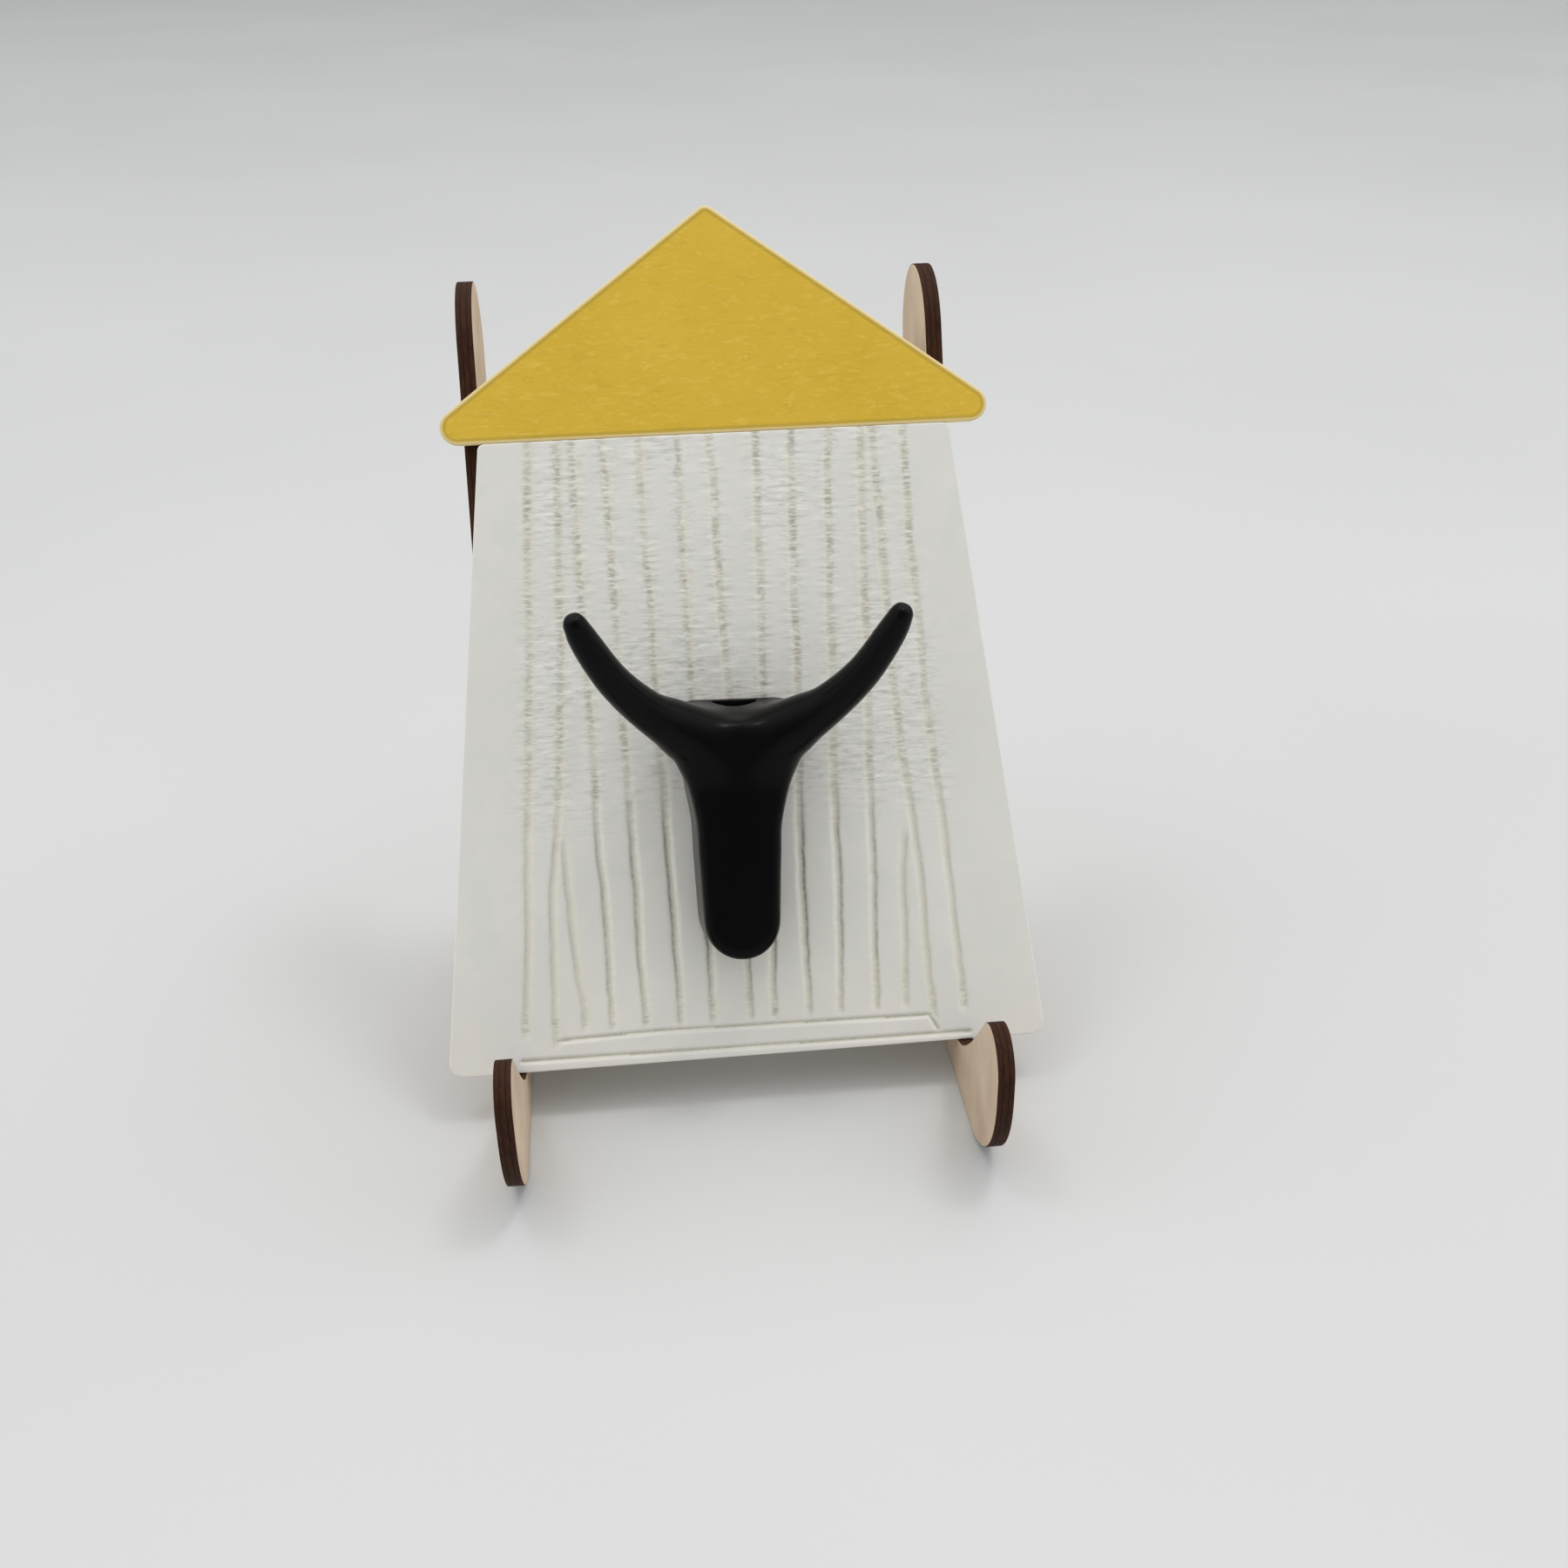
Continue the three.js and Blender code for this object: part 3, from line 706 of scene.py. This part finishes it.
def inside_trunk(p):
    x, y, z = p.T
    stem = inside_bar(p[:, :2], TRUNK) - TRUNK_DRAFT * z
    slope = HEAD_SLOPE - HEAD_FLARE * x ** 2
    under_top = (HEAD_TOP - y - slope * z) / np.hypot(1, slope)
    head = met([HEAD_HALF_WIDTH - np.abs(x), under_top, y - HEAD_FOOT], TRUNK_EDGE_RADIUS)
    front = TRUNK_DEPTH - TRUNK_CROWN * x ** 2 - z
    return met([np.maximum(stem, head), front], TRUNK_EDGE_RADIUS)


def inside_hook(p):
    folded = np.column_stack((np.abs(p[:, 0]), p[:, 1:]))
    return blended(inside_arm(folded), inside_trunk(p), ARM_BLEND)


def evaluated(obj):
    bpy.context.view_layer.update()
    depsgraph = bpy.context.evaluated_depsgraph_get()
    return bpy.data.meshes.new_from_object(obj.evaluated_get(depsgraph))


def with_modifier(mesh, kind, **settings):
    """A copy of the mesh with one modifier applied."""
    holder = bpy.data.objects.new("holder", mesh)
    bpy.context.scene.collection.objects.link(holder)
    modifier = holder.modifiers.new("modifier", kind)
    for key, value in settings.items():
        setattr(modifier, key, value)
    result = evaluated(holder)
    bpy.data.objects.remove(holder)
    return result


def mesh_from(bm):
    mesh = bpy.data.meshes.new("built")
    bm.to_mesh(mesh)
    bm.free()
    return mesh


def cut_away(mesh, tool):
    holder = bpy.data.objects.new("tool", tool)
    bpy.context.scene.collection.objects.link(holder)
    holder.hide_render = True
    result = with_modifier(mesh, "BOOLEAN", operation="DIFFERENCE", object=holder, solver="EXACT")
    bpy.data.objects.remove(holder)
    return result


def block(bm, x, y, z):
    """A box in bm, given by its low and high sides in millimetres."""
    size = [(high - low) * MM for low, high in (x, y, z)]
    middle = Vector([(low + high) / 2 * MM for low, high in (x, y, z)])
    bmesh.ops.create_cube(bm, size=1, matrix=Matrix.Translation(middle) @ Matrix.Diagonal((*size, 1)))


def pocket():
    """The hollow in the head, with a flat back and a round front."""
    count = 24
    reach = POCKET_FRONT - POCKET_BACK
    angles = [math.pi * k / count for k in range(count + 1)]
    outline = [(POCKET_HALF_WIDTH * math.cos(a), POCKET_BACK + reach * math.sin(a)) for a in angles]
    bm = bmesh.new()
    ends = [
        [bm.verts.new((x * MM, y * MM, z * MM)) for x, z in outline]
        for y in (HEAD_TOP - POCKET_HEIGHT, HEAD_TOP + POCKET_HEIGHT)
    ]
    bm.faces.new(ends[0])
    bm.faces.new(ends[1][::-1])
    for k in range(count + 1):
        j = (k + 1) % (count + 1)
        bm.faces.new((ends[0][j], ends[0][k], ends[1][k], ends[1][j]))
    bmesh.ops.recalc_face_normals(bm, faces=bm.faces[:])
    return mesh_from(bm)


def hook():
    bm = bmesh.new()
    low, high = -2.0, TRUNK_DEPTH
    for x, y, z, radius in ARM:
        for side in (-1, 1):
            bmesh.ops.create_icosphere(bm, subdivisions=3, radius=radius * MM,
                                       matrix=Matrix.Translation((side * x * MM, y * MM, z * MM)))
    for x, y, half in TRUNK:
        bmesh.ops.create_cone(bm, cap_ends=True, segments=64, radius1=half * MM,
                              radius2=(half - COARSE_DRAFT) * MM, depth=(high - low) * MM,
                              matrix=Matrix.Translation((x * MM, y * MM, (high + low) / 2 * MM)))
    block(bm, (-HEAD_HALF_WIDTH, HEAD_HALF_WIDTH), (HEAD_FOOT, HEAD_TOP - COARSE_HEAD_DROP),
          (low, high - COARSE_HEAD_SINK))
    skin = with_modifier(mesh_from(bm), "REMESH", mode="VOXEL", voxel_size=VOXEL * MM)
    points = np.empty(len(skin.vertices) * 3)
    skin.vertices.foreach_get("co", points)
    points = points.reshape(-1, 3) / MM
    for _ in range(PULLS):
        value = inside_hook(points)
        slope = np.stack([
            (inside_hook(points + PROBE * axis) - inside_hook(points - PROBE * axis)) / (2 * PROBE)
            for axis in np.eye(3)
        ], axis=1)
        steepness = np.clip((slope ** 2).sum(axis=1), 0.2, None)
        points = points - np.clip(value / steepness, -1, 1)[:, None] * slope
    skin.vertices.foreach_set("co", (points * MM).ravel())
    bm = bmesh.new()
    bm.from_mesh(skin)
    for _ in range(SMOOTHING_PASSES):
        bmesh.ops.smooth_vert(bm, verts=bm.verts, factor=0.5, use_axis_x=True, use_axis_y=True,
                              use_axis_z=True)
    cut = bmesh.ops.bisect_plane(bm, geom=bm.verts[:] + bm.edges[:] + bm.faces[:],
                                 plane_co=(0, 0, FIT_GAP * MM), plane_no=(0, 0, 1), clear_inner=True)
    edge = [e for e in cut["geom_cut"] if isinstance(e, bmesh.types.BMEdge)]
    bmesh.ops.contextual_create(bm, geom=edge)
    bmesh.ops.recalc_face_normals(bm, faces=bm.faces[:])
    body = cut_away(mesh_from(bm), pocket())
    smooth_by_angle(body, 42)
    obj = new_object("hook_moulding", body, [BLACK], HOOK)
    return piece(obj, "house", "black_plastic", "hook")


# ---- the screw and its washer -------------------------------------------------------------------

def lathe(profile):
    """A closed body of revolution about z, from (radius, z) points."""
    segments = 48
    bm = bmesh.new()
    closed = profile[0][0] > 0
    rings = []
    for radius, z in profile:
        if radius == 0:
            rings.append([bm.verts.new((0, 0, z * MM))])
            continue
        angles = [2 * math.pi * k / segments for k in range(segments)]
        circle = [(radius * math.cos(a) * MM, radius * math.sin(a) * MM, z * MM) for a in angles]
        rings.append([bm.verts.new(point) for point in circle])
    pairs = list(zip(rings[:-1], rings[1:])) + ([(rings[-1], rings[0])] if closed else [])
    for a, b in pairs:
        for k in range(segments):
            j = (k + 1) % segments
            corners = [a[k % len(a)], a[j % len(a)], b[j % len(b)], b[k % len(b)]]
            bm.faces.new(list(dict.fromkeys(corners)))
    bmesh.ops.recalc_face_normals(bm, faces=bm.faces[:])
    return mesh_from(bm)


def hook_screw():
    # one gap behind the washer, where the head's height and the cross's level are measured from
    back = -PLATE - 2 * FIT_GAP - WASHER_THICKNESS
    under = back - FIT_GAP
    shoulder = SCREW_HEAD_HEIGHT - FIT_GAP - SCREW_HEAD_CROWN
    head = [(0, back - SCREW_HEAD_HEIGHT)]
    for k in range(1, 9):
        angle = math.pi / 2 * k / 8
        level = under - shoulder - SCREW_HEAD_CROWN * math.cos(angle)
        head.append((SCREW_HEAD_RADIUS * math.sin(angle), level))
    head += [
        (SCREW_HEAD_RADIUS, under - SCREW_HEAD_EASE),
        (SCREW_HEAD_RADIUS - SCREW_HEAD_EASE, under),
        (SCREW_RADIUS, under),
        (SCREW_RADIUS, SCREW_BITE - SCREW_POINT),
        (SCREW_RADIUS - SCREW_POINT, SCREW_BITE),
        (0, SCREW_BITE),
    ]
    body = lathe(head)
    length, width, depth = (side * MM for side in SCREW_CROSS)
    for turn in (0, math.pi / 2):
        bm = bmesh.new()
        bmesh.ops.create_cube(bm, size=1,
                              matrix=Matrix.Translation((0, 0, (back - SCREW_CROSS_LEVEL) * MM))
                              @ Matrix.Rotation(turn + SCREW_CROSS_TURN, 4, "Z")
                              @ Matrix.Diagonal((length, width, depth, 1)))
        body = cut_away(body, mesh_from(bm))
    smooth_by_angle(body, 35)
    obj = new_object("hook_screw_pan_head", body, [STEEL], HOOK)
    return piece(obj, "house", "steel", "hook_screw")


def hook_washer():
    front = -PLATE - FIT_GAP
    back = front - WASHER_THICKNESS
    hole = SCREW_RADIUS + FIT_GAP
    body = lathe([
        (hole, front), (WASHER_RADIUS - WASHER_EASE, front), (WASHER_RADIUS, front - WASHER_EASE),
        (WASHER_RADIUS, back + WASHER_EASE), (WASHER_RADIUS - WASHER_EASE, back), (hole, back),
    ])
    smooth_by_angle(body, 35)
    obj = new_object("hook_washer_ring", body, [STEEL], HOOK)
    return piece(obj, "house", "steel", "hook_washer")


# ---- the plywood pieces -------------------------------------------------------------------------

def plywood(node, name, body, thin):
    """The node's outline with eased arrises, bare faces and burnt edges; thin crosses the ply."""
    thin = Vector(thin).normalized()
    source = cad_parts[node].data
    bm = bmesh.new()
    bm.from_mesh(source)
    bmesh.ops.remove_doubles(bm, verts=bm.verts, dist=1e-6)
    bmesh.ops.dissolve_limit(bm, angle_limit=math.radians(0.5), verts=bm.verts, edges=bm.edges)
    levels = [v.co.dot(thin) for v in bm.verts]
    middle = (min(levels) + max(levels)) / 2
    half = (max(levels) - min(levels)) / 2
    broad = [f for f in bm.faces if abs(f.normal.dot(thin)) > 0.9]
    arris = list({e for f in broad for e in f.edges})
    bmesh.ops.bevel(bm, geom=arris, offset=PLY_BEVEL * MM, segments=2, profile=0.5, affect="EDGES",
                    clamp_overlap=True)
    broad = [f for f in bm.faces if abs(f.normal.dot(thin)) > 0.99]
    scorched = {v for f in broad for v in f.verts}
    bmesh.ops.inset_region(bm, faces=broad, thickness=SCORCH_WIDTH * MM, use_even_offset=True)
    inner = {v for f in broad for v in f.verts} - scorched
    bm.normal_update()
    bm.verts.index_update()
    rim = [0.0 if v in inner else 1.0 for v in bm.verts]
    across = [(v.co.dot(thin) - middle) / half for v in bm.verts]
    for f in bm.faces:
        f.material_index = 0 if abs(f.normal.dot(thin)) > 0.99 else 1
    mesh = mesh_from(bm)
    set_point_values(mesh, "rim", rim)
    set_point_values(mesh, "across", across)
    smooth_by_angle(mesh, 40)
    obj = new_object(name, mesh, [BIRCH, BURNT])
    return piece(obj, body, "plywood", node)


LEAN_UP = (0, math.cos(LEAN), math.sin(LEAN))
LEAN_OUT = (0, -math.sin(LEAN), math.cos(LEAN))

wall_panel()
roof_plate()
hook()
hook_screw()
hook_washer()
plywood("left_leg", "left_leg_ply", "stand", (1, 0, 0))
plywood("right_leg", "right_leg_ply", "stand", (1, 0, 0))
plywood("middle_cross_bar", "middle_cross_bar_ply", "stand", LEAN_UP)
plywood("lower_cross_bar", "lower_cross_bar_ply", "stand", (0, 1, 0))
plywood("joining_strip", "joining_strip_ply", "house", LEAN_OUT)


# ---- the table and the sweep behind it ----------------------------------------------------------

def backdrop():
    near, far, radius, height, half = -8.0, 3.4, 1.0, 3.2, 9.0
    profile = [(near, 0.0), (far, 0.0)]
    for k in range(1, 17):
        angle = math.pi / 2 * k / 16
        profile.append((far + radius * math.sin(angle), radius * (1 - math.cos(angle))))
    profile.append((far + radius, height))
    bm = bmesh.new()
    rows = [[bm.verts.new((x, y, z)) for x in (-half, half)] for y, z in profile]
    for a, b in zip(rows[:-1], rows[1:]):
        bm.faces.new((a[0], a[1], b[1], b[0]))
    mesh = mesh_from(bm)
    smooth_by_angle(mesh, 60)
    obj = new_object("table_sweep", mesh, [TABLE])


backdrop()


def area_light(name, at, size, power, colour=(1, 1, 1)):
    """A round lamp aimed at the middle of the object's foot."""
    data = bpy.data.lights.new(name, "AREA")
    data.shape = "DISK"
    data.size = size
    data.energy = power
    data.color = colour
    obj = bpy.data.objects.new(name, data)
    obj.location = at
    obj.rotation_euler = (-Vector(at)).to_track_quat("-Z", "Y").to_euler()
    bpy.context.scene.collection.objects.link(obj)


area_light("ceiling", at=(0.25, 0.32, 1.6), size=1.2, power=2.2, colour=(1.0, 0.99, 0.97))
area_light("lamp_left", at=(-0.5, 0.1, 1.6), size=0.35, power=2.0)
area_light("lamp_right", at=(0.5, 0.05, 1.6), size=0.35, power=3.3)


def dome():
    """A bright room all round, with whoever looks at the object standing dark in front of it."""
    world = bpy.data.worlds.new("studio")
    bpy.context.scene.world = world
    world.use_nodes = True
    nodes, links = world.node_tree.nodes, world.node_tree.links
    direction = nodes.new("ShaderNodeTexCoord").outputs["Generated"]

    def remap(value, low, high, to_low, to_high):
        node = nodes.new("ShaderNodeMapRange")
        node.interpolation_type = "SMOOTHSTEP"
        for socket, number in zip(("From Min", "From Max", "To Min", "To Max"), (low, high, to_low, to_high)):
            node.inputs[socket].default_value = number
        links.new(value, node.inputs["Value"])
        return node.outputs["Result"]

    def towards(x, y, z):
        node = nodes.new("ShaderNodeVectorMath")
        node.operation = "DOT_PRODUCT"
        links.new(direction, node.inputs[0])
        node.inputs[1].default_value = (x, y, z)
        return node.outputs["Value"]

    front = Vector((0, -0.96, 0.28)).normalized()
    lift = remap(towards(0, 0, 1), low=-0.1, high=0.8, to_low=0.9, to_high=1.22)
    open_side = remap(towards(*front), low=0.35, high=0.97, to_low=1.0, to_high=0.3)
    both = nodes.new("ShaderNodeMath")
    both.operation = "MULTIPLY"
    links.new(lift, both.inputs[0])
    links.new(open_side, both.inputs[1])
    sky = nodes["Background"]
    sky.inputs["Color"].default_value = (0.99, 0.99, 1.0, 1)
    links.new(both.outputs[0], sky.inputs["Strength"])


dome()
bpy.context.scene.view_settings.view_transform = "Standard"

# ---- the camera ---------------------------------------------------------------------------------

CAMERA_AT = (-23.6, -382.2, 289.2)
PITCH, YAW, ROLL = (math.radians(a) for a in (29.19, 5.39, 1.08))
LENS = 40
SENSOR = 36

forward = Vector((math.sin(YAW) * math.cos(PITCH), math.cos(YAW) * math.cos(PITCH), -math.sin(PITCH)))
level = Vector((math.cos(YAW), -math.sin(YAW), 0))
upward = level.cross(forward)
right = math.cos(ROLL) * level - math.sin(ROLL) * upward
upward = math.sin(ROLL) * level + math.cos(ROLL) * upward
data = bpy.data.cameras.new("camera")
data.lens = LENS
data.sensor_width = SENSOR
camera = bpy.data.objects.new("camera", data)
camera.matrix_world = Matrix((
    (right.x, upward.x, -forward.x, CAMERA_AT[0] * MM),
    (right.y, upward.y, -forward.y, CAMERA_AT[1] * MM),
    (right.z, upward.z, -forward.z, CAMERA_AT[2] * MM),
    (0, 0, 0, 1),
))
bpy.context.scene.collection.objects.link(camera)
bpy.context.scene.camera = camera
